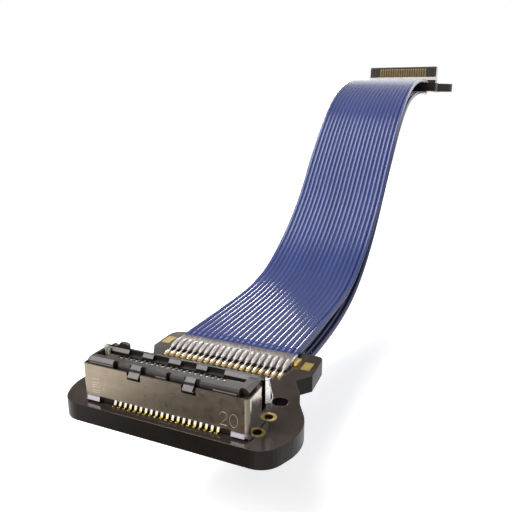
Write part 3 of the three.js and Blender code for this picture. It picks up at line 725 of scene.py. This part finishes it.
def near_details():
    tips = Shape()
    for i in range(CONTACTS):
        x = contact_x(i)
        tips.slab(rounded(x - 0.1, x + 0.1, -0.44, -0.24, 0.04), 5.1, 5.4)
        tips.dome((x, -0.34, 5.4), (0.1, 0.1, 0.05))
    piece("near_contact_tips", tips, [tip_cream])

    # Low strips in front of the lip
    strips = Shape()
    for ends in LIP_STRIPS:
        strips.rings([[(x, y, z) for y, z in LIP_PROFILE] for x in ends])
    piece("near_lip_strips", strips, [moulding])

    # Black sheets that paint the shade in the gaps under the tails and behind the spring's slot
    shade = Shape()
    shade.slab(rounded(-5.35, 5.25, -1.96, -1.3, 0.05), BOARD + SKIN, BOARD + 0.014)
    shade.slab(rounded(7.12, 7.42, 1.71, 1.76, 0.01), 2.6, 5.05)
    piece("near_shade", shade, [black])

    fork = Shape()
    for outline in FORK_PRONGS:
        fork.upright(outline, 0.375, 0.565)
    obj = piece("near_fork", fork, [prong_cream])
    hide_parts("near_latch")

    # The spring's face stands further back towards the right, so it mirrors the pale floor there.
    y_left, slope, thick = 1.37, 0.5, 0.06
    # Its root uses a darker copy of the tin, a painted shade.
    spring = Shape()
    for outline, index in ((SPRING_BLADE, 0), (SPRING_HOOK, 0), (SPRING_ROOT, 1)):
        front = [(x, y_left + (x - SPRING_X) * slope, z) for x, z in outline]
        spring.rings([front, [(x, y + thick, z) for x, y, z in front]], index)
    piece("near_spring_face", spring, [pale_tin, tin_painted_shade])

    # Raised marks: plain bars and the number of contacts, painted paler than the shell as a painted
    # highlight
    marks = Shape()
    for z in BAR_MARKS:
        stroke(marks, [(-6.84, z - 0.01), (-6.05, z + 0.02)])
    stroke(marks, DIGIT_TWO)
    stroke(marks, DIGIT_ZERO)
    piece("near_marks", marks, [mark_metal_highlight])


near_details()


# ---- Small features of both boards and of the far connector ----
def end_lugs(end):
    """A gold lug on the board beside the upper ground bar, and the bar's bright end."""
    lugs = Shape()
    lugs.slab(rounded(6.22, 6.70, 11.15, 12.2, 0.06), BOARD + SKIN, BOARD + 0.34)
    lugs.slab(rounded(6.3, 6.6, 10.85, 11.2, 0.06), BOARD + SKIN, BOARD + 0.2)
    piece(f"{end}_lug", lugs, [gold], end)
    front, rear = BAR["front"] - 0.02, BAR["rear"] - 0.05
    caps = Shape()
    caps.slab(rounded(6.0, 6.15, front, rear, 0.05), BOARD + 0.03, BOARD + 0.49)
    piece(f"{end}_bar_cap", caps, [pale_tin], end)


end_lugs("near")
end_lugs("far")


def far_details():
    """Contact faces, the pale band below them, and the posts at both ends of the housing."""
    bars = Shape()
    for i in range(CONTACTS):
        x = contact_x(i)
        bars.slab(rounded(x - 0.19, x + 0.19, 1.24, 1.35, 0.04), BOARD + 0.5, BOARD + 3.22)
    piece("far_contact_faces", bars, [far_gold], "far")
    band = Shape()
    band.slab(rounded(-7.1, 7.1, 1.36, 1.46, 0.03), BOARD + 0.9, BOARD + 1.5)
    for side in (-1, 1):
        x = side * 7.14
        band.slab(rounded(x - 0.1, x + 0.1, 0.76, 1.3, 0.04), BOARD + 0.3, BOARD + 3.45)
    piece("far_band", band, [pale_tin], "far")


far_details()


# ---- Surfaces of the solid model's own pieces ----
def dress(node, mat):
    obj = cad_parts[node]
    obj.data.materials.clear()
    obj.data.materials.append(mat)


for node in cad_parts:
    if node.endswith("_board"):
        dress(node, board_mask)
    elif node.endswith("_housing"):
        dress(node, moulding)
    elif node.endswith("_shield"):
        dress(node, shell)
    elif node.startswith("near_contact"):
        dress(node, tails)
    elif node.startswith("far_contact"):
        dress(node, far_gold)
    elif "_tab_" in node:
        dress(node, tin)


# ---- Studio; places are in metres ----
FLOOR_LEVEL = -0.012
FLOOR_HALF = 1.2
WORLD_LIGHT = 0.4
# Name, place, aim, width, height, power in watts
LAMPS = (
    ("overhead", (-0.07, 0.03, 0.24), (0.0, 0.04, 0.01), 0.14, 0.14, 0.5),
    ("front_left", (-0.108, -0.13, 0.175), (0.0, 0.0, 0.0), 0.09, 0.09, 0.34),
    ("back_left", (-0.10, 0.24, 0.045), (0.0, 0.03, 0.01), 0.09, 0.03, 0.18),
    ("crest", (-0.05, 0.32, 0.050), (0.0, 0.085, 0.03), 0.14, 0.03, 0.03),
)
# The shell's front face mirrors the first card, and the faces that look up mirror the second.
CARD_LEVEL = FLOOR_LEVEL + 0.0006
CARDS = {
    "dark_card": [(-0.020, -0.060, CARD_LEVEL), (0.004, -0.060, CARD_LEVEL),
                  (0.004, -0.008, CARD_LEVEL), (-0.020, -0.008, CARD_LEVEL)],
    "dark_flag": [(-0.17, 0.12, 0.085), (-0.02, 0.22, 0.085),
                  (-0.02, 0.21, 0.165), (-0.17, 0.11, 0.165)],
}


def stage_sheet(name, corners, mat):
    """A four-cornered sheet that belongs to the studio and not to the object."""
    mesh = bpy.data.meshes.new(name)
    mesh.from_pydata(corners, [], [(0, 1, 2, 3)])
    mesh.materials.append(mat)
    obj = bpy.data.objects.new(name, mesh)
    bpy.context.collection.objects.link(obj)


def card_material():
    """Dark felt to the object, and the backdrop's white to the camera."""
    n = Nodes("card_felt")
    rays = n.add("ShaderNodeLightPath")
    nap = n.spotted(12.0, rgb(0.05, 0.045, 0.04), rgb(0.07, 0.06, 0.055))
    felt = n.shader(Base_Color=nap, Roughness=0.9)
    white = n.add("ShaderNodeEmission", {"Color": rgb(1, 1, 1), "Strength": 1.0})
    return n.blend(rays.outputs["Is Camera Ray"], felt, white.outputs[0])


def floor_material():
    """A pale floor that keeps the object's shadow and looks white to camera and mirror rays."""
    n = Nodes("floor_white")
    rays = n.add("ShaderNodeLightPath")
    seen = n.math("MAXIMUM", rays.outputs["Is Camera Ray"], rays.outputs["Is Glossy Ray"])
    seen = n.math("MAXIMUM", seen, rays.outputs["Is Transmission Ray"])
    diffuse = n.add("ShaderNodeBsdfDiffuse", {"Color": rgb(0.86, 0.86, 0.86)})
    away = n.add("ShaderNodeVectorMath", {0: n.coords}, operation="LENGTH").outputs["Value"]
    lift = n.range(away, 0.1, 0.4, 0.56, 0.72)
    strength = n.math("MULTIPLY", seen, lift)
    glow = n.add("ShaderNodeEmission", {"Color": rgb(1, 1, 1), "Strength": strength})
    both = n.add("ShaderNodeAddShader", {0: diffuse.outputs[0], 1: glow.outputs[0]})
    n.tree.links.new(both.outputs[0], n.out.inputs["Surface"])
    return n.mat


def white_world():
    """White to camera, mirror and transmission rays, and a plain fill light to all others."""
    world = bpy.data.worlds.new("studio")
    bpy.context.scene.world = world
    world.use_nodes = True
    tree = world.node_tree
    tree.nodes.clear()
    rays = tree.nodes.new("ShaderNodeLightPath")
    seen = rays.outputs["Is Camera Ray"]
    for other in ("Is Glossy Ray", "Is Transmission Ray"):
        either = tree.nodes.new("ShaderNodeMath")
        either.operation = "MAXIMUM"
        tree.links.new(seen, either.inputs[0])
        tree.links.new(rays.outputs[other], either.inputs[1])
        seen = either.outputs[0]
    strength = tree.nodes.new("ShaderNodeMapRange")
    strength.inputs["To Min"].default_value = WORLD_LIGHT
    strength.inputs["To Max"].default_value = 1.0
    tree.links.new(seen, strength.inputs["Value"])
    background = tree.nodes.new("ShaderNodeBackground")
    background.inputs["Color"].default_value = rgb(1, 1, 1)
    tree.links.new(strength.outputs["Result"], background.inputs["Strength"])
    out = tree.nodes.new("ShaderNodeOutputWorld")
    tree.links.new(background.outputs[0], out.inputs["Surface"])


def softbox(name, location, target, width, height, power):
    data = bpy.data.lights.new(name, "AREA")
    data.shape = "RECTANGLE"
    data.size = width
    data.size_y = height
    data.energy = power
    obj = bpy.data.objects.new(name, data)
    bpy.context.collection.objects.link(obj)
    obj.location = location
    aim = Vector(target) - Vector(location)
    obj.rotation_euler = aim.to_track_quat("-Z", "Y").to_euler()


def studio():
    a = FLOOR_HALF
    corners = [(x, y, FLOOR_LEVEL) for x, y in ((-a, -a), (a, -a), (a, a), (-a, a))]
    stage_sheet("floor", corners, floor_material())
    white_world()
    for lamp in LAMPS:
        softbox(*lamp)
    felt = card_material()
    for name, corners in CARDS.items():
        stage_sheet(name, corners, felt)


studio()
bpy.context.scene.view_settings.view_transform = "Standard"
